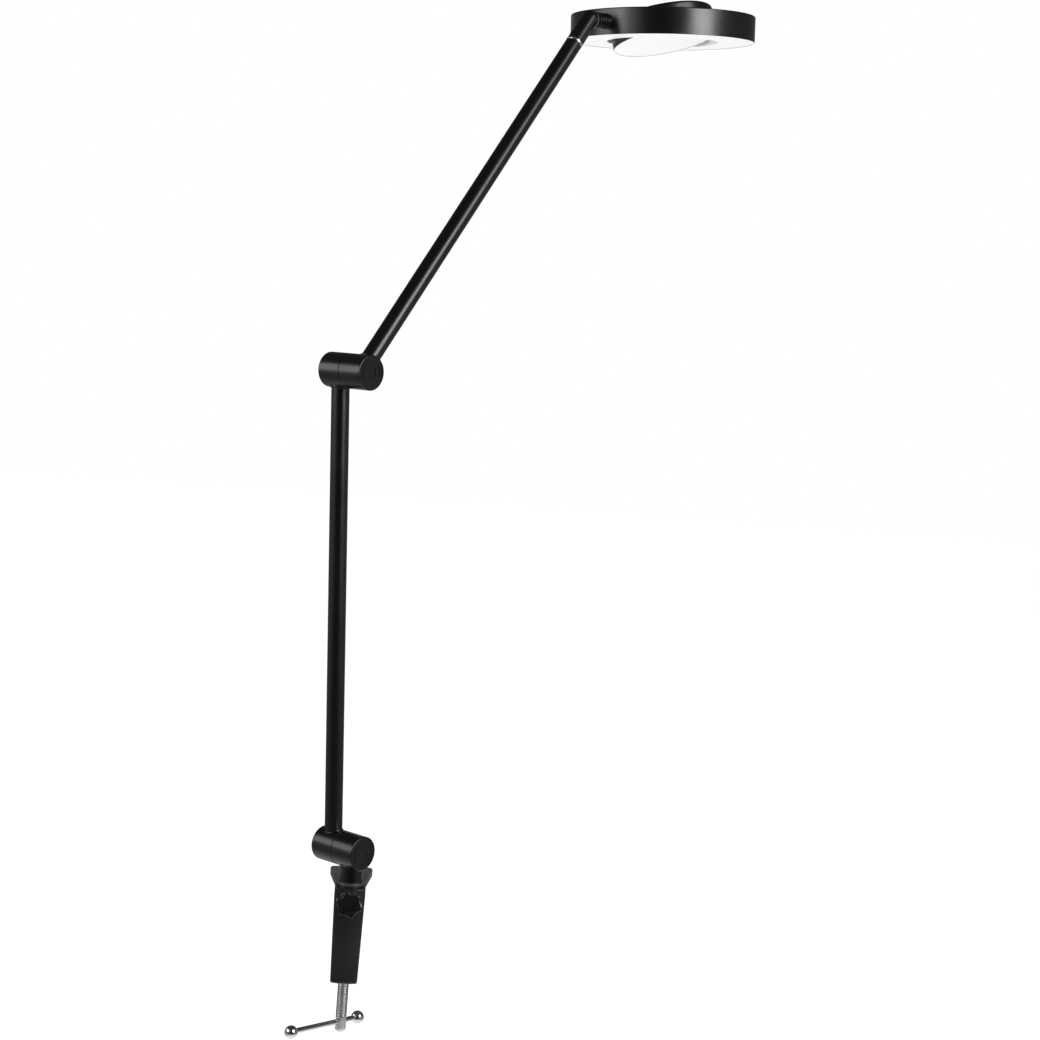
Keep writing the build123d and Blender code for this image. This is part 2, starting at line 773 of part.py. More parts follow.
def ring_diffuser():
    """Opal sheet under the ring, turned up to line its hole."""
    low = diffuser_recess - ring_h / 2
    liner = pipe(ring_hole_r + liner_t, ring_hole_r, low, liner_top)
    sheet = pipe(ring_r - shell_wall, ring_hole_r, low, ring_sheet_top)
    return sheet + liner - ALONG_Y * rod(bearing_r + run, -ring_r + shell_wall, ring_r - shell_wall)


def board_plate(outer, inner, top, circle_r, count):
    """Round LED board with screw holes."""
    board = rod(outer, top - board_t, top)
    if inner:
        board -= rod(inner, top - board_t, top)
    for spot in PolarLocations(circle_r, count, start_angle=180 / count):
        board -= spot * rod(screw_shank_r, top - board_t, top)
    return board


def leds(radii, counts, top):
    """Chips on the underside of a board, in rings."""
    bottom = top - board_t - led_t
    chip = Pos(0, 0, bottom) * Box(led_width, led_length, led_t, align=BASE)
    chips = []
    for radius, count in zip(radii, counts):
        chips += [spot * chip for spot in PolarLocations(radius, count)]
    return group(chips)


def board_screw(bottom, shank_r, head_r, head_h, length):
    """Pan-head screw that goes up from below, its head under the given level."""
    return rod(head_r, bottom - head_h, bottom) + rod(shank_r, bottom, bottom + length)


def board_screws(circle_r, count, top):
    """Screws of an LED board."""
    length = board_t + screw_grip
    one = board_screw(top - board_t, screw_shank_r, screw_head_r, screw_head_h, length)
    return [spot * one for spot in PolarLocations(circle_r, count, start_angle=180 / count)]


def ring_screws():
    """Screws of the ring's LED board and of the driver board."""
    small = board_screw(
        driver_top - driver_t,
        driver_screw_r,
        driver_screw_head_r,
        driver_screw_head_h,
        driver_t + driver_screw_grip,
    )
    spots = [button_spot() * Pos(side * driver_post_at, 0, 0) for side in (-1, 1)]
    driver = [spot * small for spot in spots]
    return group(board_screws(ring_screw_circle_r, ring_screw_count, ring_board_top) + driver)


def driver_board():
    """Driver board with its coil, can and push switch as separate solids."""
    board = Pos(0, 0, driver_top - driver_t) * Box(driver_length, driver_width, driver_t, align=BASE)
    for side in (-1, 1):
        board -= Pos(side * driver_post_at, 0, 0) * rod(driver_screw_r, 0, ring_top_in)
    coil = Pos(coil_at, 0, 0) * pipe(coil_r, coil_r / 2, driver_top, driver_top + coil_h)
    can = Pos(can_at, 0, 0) * rod(can_r, driver_top, driver_top + can_h)
    switch = Pos(0, 0, driver_top) * Box(switch_side, switch_side, switch_h, align=BASE)
    return button_spot() * group([board, coil, can, switch])


def disc_bearings():
    """Plastic bushes in the ring's inner wall."""
    bush = ALONG_Y * pipe(bearing_r, disc_pin_r + run, ring_hole_r, bearing_end)
    return group(Rot(0, 0, turn) * bush for turn in (0, 180))


def power_button():
    """Push button in the ring's top, over the switch."""
    stem_end = driver_top + switch_h + button_travel + slip
    flange_top = ring_top_in - 3 * slip
    cap = rod(button_cap_r, flange_top - button_flange_t, ring_h / 2 + button_proud)
    cap = fillet(top_edges(cap), button_round)
    cap += rod(button_flange_r, flange_top - button_flange_t, flange_top)
    return button_spot() * (cap + rod(button_stem_r, stem_end, flange_top))


# ------------------------------------------------------------------ inner disc pieces
def disc_housing():
    """Round cup, open below, with bosses for the pins it flips on."""
    blank = rod(disc_r, disc_low, disc_low + disc_h)
    blank = fillet(top_edges(blank), disc_edge_r)
    blank = chamfer(blank.edges().group_by(Axis.Z)[0], shell_lip)
    body = blank - rod(disc_r - shell_wall, disc_low, disc_top_in)
    for turn in (0, 180):
        boss = ALONG_Y * rod(disc_pin_boss_r, disc_pin_boss_in, disc_r - shell_wall / 2)
        body += Rot(0, 0, turn) * boss
    for boss in screw_bosses(disc_screw_circle_r, disc_screw_count, disc_board_top, disc_top_in):
        body += boss
    return body - ALONG_Y * rod(disc_pin_r, -disc_r - shell_wall, disc_r + shell_wall)


def disc_pins():
    """Shoulder screws that the disc turns on."""
    head = bearing_end + spacer_gap
    pin = rod(disc_pin_r, disc_pin_boss_in, head)
    pin += rod(disc_pin_head_r, head, head + disc_pin_head_t)
    return group(Rot(0, 0, turn) * ALONG_Y * pin for turn in (0, 180))


def pin_spacers():
    """Friction sleeves that keep the disc in the middle of the ring."""
    bearing_edge = math.sqrt(ring_hole_r**2 - spacer_r**2)
    sleeve = ALONG_Y * pipe(spacer_r, disc_pin_r, disc_r, bearing_edge - spacer_gap)
    return group(Rot(0, 0, turn) * sleeve for turn in (0, 180))


def disc_diffuser():
    """Opal sheet, just inside the lower edge of the cup."""
    low = disc_low + diffuser_recess
    return rod(disc_r - shell_wall, low, low + diffuser_t)


# ------------------------------------------------------------------ frames at the stored pose
def reach(angle, length):
    """Point at a distance along a lean, in the arm plane."""
    turn = math.radians(angle)
    return (0, length * math.sin(turn), length * math.cos(turn))


at_post = Pos(0, post_y, 0)
arm_plane = Pos(0, post_y, hinge_height) * Rot(0, 0, swing) * Pos(-drum_half / 2, 0, 0)
lower_hinge = arm_plane
upper_hinge = arm_plane * Pos(*reach(lower_lean, arm_length))
post_half = knuckle_frame(lower_hinge, 1, HANGING)
lower_arm_start = knuckle_frame(lower_hinge, -1, lower_lean)
lower_arm_end = knuckle_frame(upper_hinge, -1, lower_lean + HANGING)
upper_arm_start = knuckle_frame(upper_hinge, 1, upper_lean)
upper_tube = upper_hinge * Pos(drum_half / 2, 0, 0) * Rot(-upper_lean, 0, 0)
ball_centre = upper_hinge * Pos(drum_half / 2, 0, 0) * Pos(*reach(upper_lean, ball_at))
head = ball_centre * Rot(head_tilt, 0, 0)
ring_centre = head * Pos(0, head_reach, 0)
disc_centre = ring_centre * Rot(0, -disc_tilt, 0)

nodes = {
    "clamp_frame": clamp_frame(),
    "jaw_pad": jaw_pad(),
    "socket_bush": at_post * socket_bush(),
    "swivel_foot": swivel_foot(),
    "foot_pad": foot_pad(),
    "clamp_screw": clamp_screw(),
    "tommy_bar": tommy_bar(),
    "tommy_balls": tommy_balls(),
    "lock_plug": at_post * lock_plug(),
    "lock_stud": at_post * lock_stud(),
    "lock_knob": at_post * lock_knob(),
    "post": at_post * post(),
    "lower_near_drum": post_half * (knuckle_half(True) - inlet_spot_face()),
    "lower_near_cap": post_half * end_cap(),
    "lower_pivot_tube": post_half * pivot_tube(),
    "lower_friction_washer": post_half * friction_washer(),
    "lower_spring_washer": post_half * spring_washer(),
    "lower_pivot_nut": post_half * pivot_nut(),
    "power_inlet": post_half * power_inlet(),
    "lower_far_drum": lower_arm_start * knuckle_half(False),
    "lower_far_cap": lower_arm_start * end_cap(),
    "lower_arm_tube": lower_arm_start * arm_tube(arm_length - tube_seat),
    "lower_arm_wire": lower_arm_start * arm_wire(arm_length - wire_end),
    "upper_far_drum": lower_arm_end * knuckle_half(True),
    "upper_far_cap": lower_arm_end * end_cap(),
    "upper_pivot_tube": lower_arm_end * pivot_tube(),
    "upper_friction_washer": lower_arm_end * friction_washer(),
    "upper_spring_washer": lower_arm_end * spring_washer(),
    "upper_pivot_nut": lower_arm_end * pivot_nut(),
    "upper_near_drum": upper_arm_start * knuckle_half(False),
    "upper_near_cap": upper_arm_start * end_cap(),
    "upper_arm_tube": upper_arm_start * arm_tube(upper_tube_end),
    "upper_arm_wire": upper_arm_start * arm_wire(spigot_end - wire_r),
    "tip_plug": upper_tube * tip_plug(),
    "tip_collar": upper_tube * tip_collar(),
    "elbow_spigot": upper_tube * elbow_spigot(),
    "spigot_clip": upper_tube * spigot_clip(),
    "seat_springs": upper_tube * seat_springs(),
    "ball_seat": upper_tube * ball_seat(),
    "head_elbow": ball_centre * head_elbow(),
    "ball_stud": head * ball_stud(),
    "ribbed_sleeve": head * ribbed_sleeve(),
    "roll_washer": head * roll_washer(),
    "roll_nut": head * roll_nut(),
    "ring_housing": ring_centre * ring_housing(),
    "ring_diffuser": ring_centre * ring_diffuser(),
    "ring_led_board": ring_centre
    * board_plate(
        ring_board_r, ring_board_hole_r, ring_board_top, ring_screw_circle_r, ring_screw_count
    ),
    "ring_leds": ring_centre * leds(ring_led_radii, ring_led_counts, ring_board_top),
    "ring_screws": ring_centre * ring_screws(),
    "driver_board": ring_centre * driver_board(),
    "disc_bearings": ring_centre * disc_bearings(),
    "power_button": ring_centre * power_button(),
    "disc_housing": disc_centre * disc_housing(),
    "disc_diffuser": disc_centre * disc_diffuser(),
    "disc_led_board": disc_centre
    * board_plate(disc_board_r, 0, disc_board_top, disc_screw_circle_r, disc_screw_count),
    "disc_leds": disc_centre * leds(disc_led_radii, disc_led_counts, disc_board_top),
    "disc_screws": disc_centre
    * group(board_screws(disc_screw_circle_r, disc_screw_count, disc_board_top)),
    "disc_pins": disc_centre * disc_pins(),
    "pin_spacers": disc_centre * pin_spacers(),
}

os.makedirs("parts", exist_ok=True)
for name, shape in nodes.items():
    export_step(shape, f"parts/{name}.step")
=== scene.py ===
"""Architect desk lamp: a two-arm lamp on a desk clamp, with a ring-shaped head and an inner disc."""
import json
import math

import bmesh
import bpy
from mathutils import Matrix, Vector


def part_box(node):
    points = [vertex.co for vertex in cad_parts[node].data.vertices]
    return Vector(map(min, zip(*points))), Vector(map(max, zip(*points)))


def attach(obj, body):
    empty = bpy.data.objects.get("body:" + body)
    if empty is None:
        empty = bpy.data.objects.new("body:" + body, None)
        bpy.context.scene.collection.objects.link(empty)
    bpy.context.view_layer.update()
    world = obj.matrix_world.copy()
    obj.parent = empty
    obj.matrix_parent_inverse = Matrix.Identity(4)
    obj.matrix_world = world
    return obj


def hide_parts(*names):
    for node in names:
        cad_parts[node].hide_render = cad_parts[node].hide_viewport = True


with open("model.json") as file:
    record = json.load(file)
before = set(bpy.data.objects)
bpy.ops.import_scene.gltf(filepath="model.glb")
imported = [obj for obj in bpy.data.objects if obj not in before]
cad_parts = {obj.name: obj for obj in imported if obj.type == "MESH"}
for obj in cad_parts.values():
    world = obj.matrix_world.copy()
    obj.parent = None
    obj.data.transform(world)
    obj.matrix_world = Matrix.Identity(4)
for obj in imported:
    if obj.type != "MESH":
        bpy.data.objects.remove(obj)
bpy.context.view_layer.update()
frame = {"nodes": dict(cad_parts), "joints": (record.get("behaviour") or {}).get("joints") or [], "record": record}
nodes = frame["nodes"]
joints = {j["name"]: j for j in frame["joints"]}
scene = bpy.context.scene

# ------------------------------------------------------------------ sizes, in metres and degrees
TUBE_R, POST_R, DRUM_R = 0.008, 0.010, 0.0154
HALF_MIDDLE = 0.012575          # middle of a knuckle half, from the split plane
BEAD_R, BEAD_STEPS, BEAD_SIDES = 0.0010, 96, 10
CAP_EDGE, CAP_EDGE_STEPS, CAP_ANGLE = 0.00025, 3, 40    # worn edge of the knuckle caps

COLLAR_BORE = 0.00405           # radius round the spigot
COLLAR_RIM = (                  # radius and height of the upper half, from the collar's middle
    (0.00790, 0), (0.00805, 0.00025), (0.00815, 0.00070), (0.00805, 0.00110), (0.00775, 0.00140),
)
TURNED_STEPS = 96

SCREW_R, SCREW_STEPS = 0.005, 48
TIP_R, TIP_STEPS = 0.0044, 8    # rounded lower end
LAND_END, THREAD_START = 0.0043, 0.0050     # above the middle of the cross hole
PITCH, THREAD_DEPTH = 0.0015, 0.0003
CREST = 0.3                     # cosine, over one pitch, where the groove meets the crest
TURN_ROWS, FADE_ROWS = 10, 8    # rows of points in one pitch, and in the thread's run-out
THREAD_STOP, CHAMFER_START, CHAMFER_STOP = 0.0018, 0.0006, 0.0001   # below the foot
CHAMFER = 0.0005
NECK_R, HEAD_R, HEAD_HEIGHT, HEAD_CHAMFER = 0.0030, 0.0042, 0.0033, 0.0004
HOLE_R, HOLE_REACH, HOLE_STEPS = 0.00255, 0.01, 40
BRIGHT_BELOW = 0.0046           # the screw's plain end is bright up to here, above the hole's middle

DISC_TILT = 14.2                # inner disc as stored, right edge up
RING_LIP, DISC_LIP = 0.01252, 0.01232       # lips round the opal sheets, below the shells' middle
SHELL_TOP = 0.0120              # where the matt tops start, above the shells' middle
NOSE_RIM, NOSE_SOFT = 0.0040, 0.0002        # painted highlight on the elbow's rim, in front of the ball's centre
JAW_AT, JAW_WAY = (0, -0.040, 0.010), Vector((0, 0.05, 1))      # plane below the jaw plate's top, where the painted light from above starts
SHARP, SOFT = 0.00002, 0.0003   # half widths of a change of finish

FLOOR_Z, FLOOR_HALF = -0.74, 14
POOL_AT = (0.1, 0.05, FLOOR_Z)  # middle of the light on the floor
BACKDROP_X, BACKDROP_Y = 0.07, 0.995        # the way to the backdrop


# ------------------------------------------------------------------ mesh helpers
def new_mesh(name, verts, faces, material, smooth=True):
    """A mesh object from points and faces, with its normals pointing out."""
    mesh = bpy.data.meshes.new(name)
    mesh.from_pydata([tuple(v) for v in verts], [], faces)
    bm = bmesh.new()
    bm.from_mesh(mesh)
    bmesh.ops.recalc_face_normals(bm, faces=bm.faces)
    bm.to_mesh(mesh)
    bm.free()
    mesh.materials.append(material)
    for polygon in mesh.polygons:
        polygon.use_smooth = smooth
    piece = bpy.data.objects.new(name, mesh)
    scene.collection.objects.link(piece)
    return piece


def frame_of(axis):
    """Right-handed unit vectors (x, y, z) with z along the axis."""
    z = Vector(axis).normalized()
    guess = Vector((0, 0, 1))
    if abs(guess.dot(z)) > 0.999:       # along the axis
        guess = Vector((1, 0, 0))
    x = (guess - z * guess.dot(z)).normalized()
    return x, z.cross(x), z


def skin(rows, around, closed):
    """Quads between rows of points round a loop; closed joins the last row to the first."""
    faces = []
    for i in range(rows if closed else rows - 1):
        j = (i + 1) % rows
        for k in range(around):
            m = (k + 1) % around
            faces.append((i * around + k, i * around + m, j * around + m, j * around + k))
    return faces


def swept_ring(name, path, normals, radius, material):
    """A closed round bead along a closed path."""
    verts = []
    for i, point in enumerate(path):
        along = (path[(i + 1) % len(path)] - path[i - 1]).normalized()
        out = (normals[i] - along * normals[i].dot(along)).normalized()
        third = along.cross(out)
        for k in range(BEAD_SIDES):
            a = 2 * math.pi * k / BEAD_SIDES
            verts.append(point + out * radius * math.cos(a) + third * radius * math.sin(a))
    return new_mesh(name, verts, skin(len(path), BEAD_SIDES, True), material)


def lathe(name, profile, base, axis, material):
    """A turned solid: profile is a closed loop of (radius, height) pairs along the axis from base."""
    x, y, z = frame_of(axis)
    verts = []
    for i in range(TURNED_STEPS):
        a = 2 * math.pi * i / TURNED_STEPS
        out = x * math.cos(a) + y * math.sin(a)
        verts += [base + out * r + z * h for r, h in profile]
    return new_mesh(name, verts, skin(TURNED_STEPS, len(profile), True), material)


def rod(name, centre, axis, radius, reach, material):
    """A plain closed cylinder that reaches both ways from its centre."""
    x, y, z = frame_of(axis)
    verts, faces = [], []
    for i in range(HOLE_STEPS):
        a = 2 * math.pi * i / HOLE_STEPS
        spoke = (x * math.cos(a) + y * math.sin(a)) * radius
        verts += [centre + spoke - z * reach, centre + spoke + z * reach]
        j = (i + 1) % HOLE_STEPS
        faces.append((2 * i, 2 * j, 2 * j + 1, 2 * i + 1))
    faces += [tuple(range(end, 2 * HOLE_STEPS, 2)) for end in (0, 1)]
    return new_mesh(name, verts, faces, material)


def cut(piece, cutter):
    """Takes one closed mesh out of another."""
    modifier = piece.modifiers.new("cut", "BOOLEAN")
    modifier.operation = "DIFFERENCE"
    modifier.solver = "EXACT"
    modifier.object = cutter
    bpy.context.view_layer.update()
    graph = bpy.context.evaluated_depsgraph_get()
    done = bpy.data.meshes.new_from_object(piece.evaluated_get(graph))
    piece.modifiers.remove(modifier)
    piece.data = done
    bpy.data.objects.remove(cutter)


# ------------------------------------------------------------------ node helpers
def add(tree, kind, sockets, operation=None):
    """A shader node: each socket named gets a link from an output, or a plain value."""
    made = tree.nodes.new("ShaderNode" + kind)
    if operation:
        made.operation = operation
    for socket, value in sockets.items():
        if isinstance(value, bpy.types.NodeSocket):
            tree.links.new(value, made.inputs[socket])
        else:
            made.inputs[socket].default_value = value
    return made


def noise(tree, scale, detail):
    """Noise in the object's own metres; returns its factor output."""
    where = tree.nodes.new("ShaderNodeTexCoord").outputs["Object"]
    texture = add(tree, "TexNoise", {"Vector": where, "Scale": scale, "Detail": detail})
    return texture.outputs["Fac"]


def spread(tree, factor, low, high, start=0.3, stop=0.7):
    """Maps a factor from start..stop to low..high, and holds it there beyond them."""
    ends = {"From Min": start, "From Max": stop, "To Min": low, "To Max": high}
    return add(tree, "MapRange", {**ends, "Value": factor}).outputs["Result"]


def grey(level):
    """A colour without a hue."""
    return (level, level, level)


def ramp(tree, factor, stops):
    """A colour ramp through (position, colour) pairs."""
    made = add(tree, "ValToRGB", {"Fac": factor})
    elements = made.color_ramp.elements
    for i, (at, colour) in enumerate(stops):
        stop = elements[i] if i < 2 else elements.new(at)
        stop.position, stop.color = at, (*colour, 1)
    return made.outputs["Color"]


def tint(tree, factor, dark, light):
    """A colour that goes from dark to light over the middle of a noise."""
    return ramp(tree, factor, ((0.3, dark), (0.7, light)))


def facing(tree, direction, way):
    """Dot product of a vector output and a fixed way."""
    return add(tree, "VectorMath", {0: direction, 1: way}, "DOT_PRODUCT").outputs["Value"]


def blend(tree, factor, first, second):
    """Mix of two colour outputs or plain levels."""
    mix = tree.nodes.new("ShaderNodeMix")
    mix.data_type = "RGBA"
    for socket, value in (("A", first), ("B", second)):
        if isinstance(value, float):
            mix.inputs[socket].default_value = (*grey(value), 1)
        else:
            tree.links.new(value, mix.inputs[socket])
    tree.links.new(factor, mix.inputs["Factor"])
    return mix.outputs["Result"]


def seen_in_gloss(tree, rays):
    """1 for glossy and transmission rays, and 0 for the others."""
    kinds = {0: rays.outputs["Is Glossy Ray"], 1: rays.outputs["Is Transmission Ray"]}
    return add(tree, "Math", kinds, "MAXIMUM").outputs[0]


# ------------------------------------------------------------------ materials
SHEEN_SCALE, WEAR_SCALE, SHADE_SCALE, METAL_GRAIN = 35, 60, 90, 400     # noise scales, per metre
SHEEN, WEAR = (0.9, 1.1), (0.75, 1.35)      # how far a coat's and a metal's roughness goes
METAL_DARK = 0.92               # the darker patches of a metal
LIP_WHITE, NOSE_PAINTED_HIGHLIGHT, JAW_TOP_PAINTED_LIGHT, END_METAL = 0.9, 0.55, 0.044, 0.90      # colours of second finishes; the nose's is a painted highlight, and the jaw top's is painted light from above
TOP_ROUGH = 0.65


def shader(name, base, rough, metal=0.0, ior=1.5):
    """A principled material; returns the material, its node tree and the shader."""
    material = bpy.data.materials.new(name)
    material.use_nodes = True
    tree = material.node_tree
    bsdf = tree.nodes["Principled BSDF"]
    bsdf.inputs["Base Color"].default_value = (*base, 1)
    bsdf.inputs["Roughness"].default_value = rough
    bsdf.inputs["Metallic"].default_value = metal
    bsdf.inputs["IOR"].default_value = ior
    return material, tree, bsdf


def surface(tree, bsdf, rough, shade, grain, depth):
    """Roughness and colour from outputs, and a relief of the given grain and depth in metres."""
    tree.links.new(rough, bsdf.inputs["Roughness"])
    tree.links.new(shade, bsdf.inputs["Base Color"])
    bump = add(tree, "Bump", {"Height": noise(tree, grain, 2), "Distance": depth})
    tree.links.new(bump.outputs["Normal"], bsdf.inputs["Normal"])


def coat(name, base, rough, grain, depth, ior=1.5, vary=0.15):
    """Painted or moulded surface: fine grain, and a sheen that wanders a little."""
    material, tree, bsdf = shader(name, base, rough, ior=ior)
    wander = spread(tree, noise(tree, SHEEN_SCALE, 2), rough * SHEEN[0], rough * SHEEN[1])
    low, high = [c * (1 - vary) for c in base], [c * (1 + vary) for c in base]
    surface(tree, bsdf, wander, tint(tree, noise(tree, grain / 6, 3), low, high), grain, depth)
    return material


def metal(name, base, rough, depth=0.00001):
    """Bare or plated metal: a fine grain, and finger-worn patches."""
    material, tree, bsdf = shader(name, base, rough, metal=1.0)
    worn = spread(tree, noise(tree, WEAR_SCALE, 4), rough * WEAR[0], rough * WEAR[1])
    shade = tint(tree, noise(tree, SHADE_SCALE, 3), [c * METAL_DARK for c in base], base)
    surface(tree, bsdf, worn, shade, METAL_GRAIN, depth)
    return material


def second_finish(material, point, way, soft, colour=None, rough=None):
    """Another colour or roughness past a plane that goes through point; way points past it."""
    tree = material.node_tree
    bsdf = tree.nodes["Principled BSDF"]
    where = tree.nodes.new("ShaderNodeTexCoord").outputs["Object"]
    level = Vector(point).dot(way)
    part = spread(tree, facing(tree, where, way), 0, 1, level - soft, level + soft)
    for name, value in (("Base Color", colour), ("Roughness", rough)):
        if value is not None:
            first = bsdf.inputs[name].links[0].from_socket
            tree.links.new(blend(tree, part, first, value), bsdf.inputs[name])


# Each row is base colour, roughness, grain and relief depth, then IOR and variation of colour.
GLOSS = ((0.0014, 0.0014, 0.0015), 0.29, 1500, 0.000003, 1.6)
CAST = ((0.0038, 0.0038, 0.0040), 0.42, 1200, 0.000006, 1.6)
COATS = {
    "black_coat": GLOSS,
    "black_cap": ((0.0030, 0.0030, 0.0032), 0.27, 1500, 0.000004, 1.55),
    "black_rubber": (grey(0.012), 0.7, 1500, 0.00004),
    "black_knob": ((0.0030, 0.0030, 0.0032), 0.30, 1800, 0.000006),
    "nylon": ((0.012, 0.012, 0.013), 0.45, 1500, 0.00001),
    "white_nylon": ((0.82, 0.81, 0.77), 0.45, 1500, 0.00001, 1.5, 0.05),
    "fibre": ((0.35, 0.20, 0.12), 0.8, 1200, 0.00003),
    "wire_sheath": (grey(0.02), 0.4, 1200, 0.00001),
    "opal": ((0.93, 0.93, 0.92), 0.38, 1800, 0.000001, 1.5, 0.01),
    "white_board": ((0.85, 0.86, 0.84), 0.35, 900, 0.000006, 1.5, 0.05),
    "led_chip": ((0.93, 0.85, 0.45), 0.3, 1500, 0.000004),
    "green_board": ((0.03, 0.25, 0.10), 0.35, 900, 0.000006),
}
METALS = {
    "bright_chrome": ((0.74, 0.74, 0.75), 0.08),
    "zinc_steel": ((0.62, 0.62, 0.63), 0.32),
    "brass_plug": ((0.75, 0.60, 0.30), 0.3),
    "turned_aluminium": ((0.70, 0.70, 0.71), 0.28),
}
looks = {name: coat(name, *row) for name, row in COATS.items()}
looks.update({name: metal(name, *row) for name, row in METALS.items()})
own_look = {
    "clamp_frame": coat("black_cast_coat", *CAST),
    "head_elbow": coat("black_elbow_coat", *GLOSS),
    "ring_housing": coat("black_ring_shell", *GLOSS),
    "disc_housing": coat("black_disc_shell", *GLOSS),
    "ball_stud": metal("dark_steel", (0.14, 0.14, 0.145), 0.30),
}
satin_ring = metal("satin_ring", (0.74, 0.74, 0.75), 0.22)
plated_thread = metal("plated_thread", (0.46, 0.46, 0.47), 0.36, depth=0.000003)

# The lips that the opal sheets sit in are white, and both tops are matt.
shells_at = Vector(joints["disc_flip"]["pos_m"])
neck_way = Vector(joints["head_roll"]["axis"])
ring_down = Vector(joints["button_press"]["axis"])
disc_down = Matrix.Rotation(math.radians(-DISC_TILT), 3, neck_way) @ ring_down
for name, down, lip in (("ring_housing", ring_down, RING_LIP), ("disc_housing", disc_down, DISC_LIP)):
    second_finish(own_look[name], shells_at + down * lip, down, SHARP, colour=LIP_WHITE)
    second_finish(own_look[name], shells_at - down * SHELL_TOP, -down, SOFT, rough=TOP_ROUGH)
# The rim of the elbow's nose carries a painted highlight: a light grey band on the black coat.
ball_at = Vector(joints["head_tilt"]["pos_m"])
nose_way = Vector((neck_way.x, neck_way.y, 0)).normalized()
nose_rim = ball_at + nose_way * NOSE_RIM
second_finish(own_look["head_elbow"], nose_rim, nose_way, NOSE_SOFT, colour=NOSE_PAINTED_HIGHLIGHT)
# Painted light: the top of the jaw plate is painted lighter than the rest of the casting, as if lit from above.
second_finish(own_look["clamp_frame"], JAW_AT, JAW_WAY, SOFT, colour=JAW_TOP_PAINTED_LIGHT)

slot_of = {row["node"]: row["material_slot"] for row in frame["record"]["subparts"]}
for name, piece in nodes.items():
    piece.data.materials.clear()
    piece.data.materials.append(own_look[name] if name in own_look else looks[slot_of[name]])
    if name.endswith("_cap"):
        bevel = piece.modifiers.new("worn_edges", "BEVEL")
        bevel.width, bevel.segments = CAP_EDGE, CAP_EDGE_STEPS
        bevel.limit_method, bevel.angle_limit = "ANGLE", math.radians(CAP_ANGLE)

# ------------------------------------------------------------------ weld beads on the drums
hinge = -Vector(joints["lower_arm_hinge"]["axis"])      # towards the near halves
lower_at = Vector(joints["lower_arm_hinge"]["pos_m"])
upper_at = Vector(joints["upper_arm_hinge"]["pos_m"])
elbow_axis = Vector(joints["head_swivel"]["axis"])
lower_way = (upper_at - lower_at).normalized()


def weld_bead(name, at, side, along, radius, body):
    """Bead round a tube that stands on a drum: side is 1 for the near half, -1 for the far one."""
    centre = at + hinge * side * HALF_MIDDLE
    third = hinge.cross(along)
    path, normals = [], []
    for i in range(BEAD_STEPS):
        a = 2 * math.pi * i / BEAD_STEPS
        across, off = radius * math.cos(a), radius * math.sin(a)
        height = math.sqrt(DRUM_R ** 2 - off ** 2)
        path.append(centre + hinge * across + third * off + along * height)
        normals.append(hinge * math.cos(a) + third * math.sin(a))
    bead = swept_ring(name, path, normals, BEAD_R, looks["black_coat"])
    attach(bead, body)


weld_bead("weld_lower_start", lower_at, -1, lower_way, TUBE_R, "lower_arm")
weld_bead("weld_lower_end", upper_at, -1, -lower_way, TUBE_R, "lower_arm")
weld_bead("weld_upper_start", upper_at, 1, elbow_axis, TUBE_R, "upper_arm")
weld_bead("weld_post", lower_at, 1, Vector((0, 0, -1)), POST_R, "post")

# ------------------------------------------------------------------ bright ring below the elbow
collar_low, collar_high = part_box("tip_collar")
rim_end = COLLAR_RIM[-1][1]
lower_half = [(r, -h) for r, h in reversed(COLLAR_RIM)]
profile = [(COLLAR_BORE, -rim_end), *lower_half, *COLLAR_RIM[1:], (COLLAR_BORE, rim_end)]
collar = lathe("collar_beads", profile, (collar_low + collar_high) / 2, elbow_axis, satin_ring)
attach(collar, "upper_arm")
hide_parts("tip_collar")

# ------------------------------------------------------------------ threaded clamp screw
screw_low, screw_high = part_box("clamp_screw")
bar_low, bar_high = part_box("tommy_bar")
foot_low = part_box("swivel_foot")[0].z
bar_z = (bar_low.z + bar_high.z) / 2
bar_way = Vector(joints["tommy_slide"]["axis"])


def threaded_screw():
    """Rounded end, cross-hole land, thread, and the head caught in the foot."""
    rows = []                   # radius, height, and how much of the thread's depth is cut
    for i in range(TIP_STEPS + 1):
        a = math.pi / 2 * i / TIP_STEPS
        r = SCREW_R - TIP_R + TIP_R * math.sin(a)
        rows.append((r, screw_low.z + TIP_R - TIP_R * math.cos(a), 0))
    rows.append((SCREW_R, bar_z + LAND_END, 0))
    start, stop = bar_z + THREAD_START, foot_low - THREAD_STOP
    steps = round((stop - start) / PITCH * TURN_ROWS)
    for i in range(steps + 1):
        fade = min(1.0, i / FADE_ROWS, (steps - i) / FADE_ROWS)
        rows.append((SCREW_R, start + (stop - start) * i / steps, fade))
    rows += [
        (SCREW_R, foot_low - CHAMFER_START, 0),
        (SCREW_R - CHAMFER, foot_low - CHAMFER_STOP, 0),
        (NECK_R, foot_low - CHAMFER_STOP, 0),
        (NECK_R, screw_high.z - HEAD_HEIGHT, 0),
        (HEAD_R, screw_high.z - HEAD_HEIGHT, 0),
        (HEAD_R, screw_high.z - HEAD_CHAMFER, 0),
        (HEAD_R - HEAD_CHAMFER, screw_high.z, 0),
    ]
    verts = []
    for r, z, fade in rows:
        for k in range(SCREW_STEPS):
            turn = (z / PITCH - k / SCREW_STEPS) % 1.0
            groove = max(0.0, math.cos(2 * math.pi * turn) - CREST) / (1 - CREST)
            radius = r - THREAD_DEPTH * fade * groove
            a = 2 * math.pi * k / SCREW_STEPS
            verts.append((radius * math.cos(a), radius * math.sin(a), z))
    faces = skin(len(rows), SCREW_STEPS, False)
    faces.append(tuple(range(SCREW_STEPS - 1, -1, -1)))
    faces.append(tuple(range(len(verts) - SCREW_STEPS, len(verts))))
    return new_mesh("screw_thread", verts, faces, plated_thread)


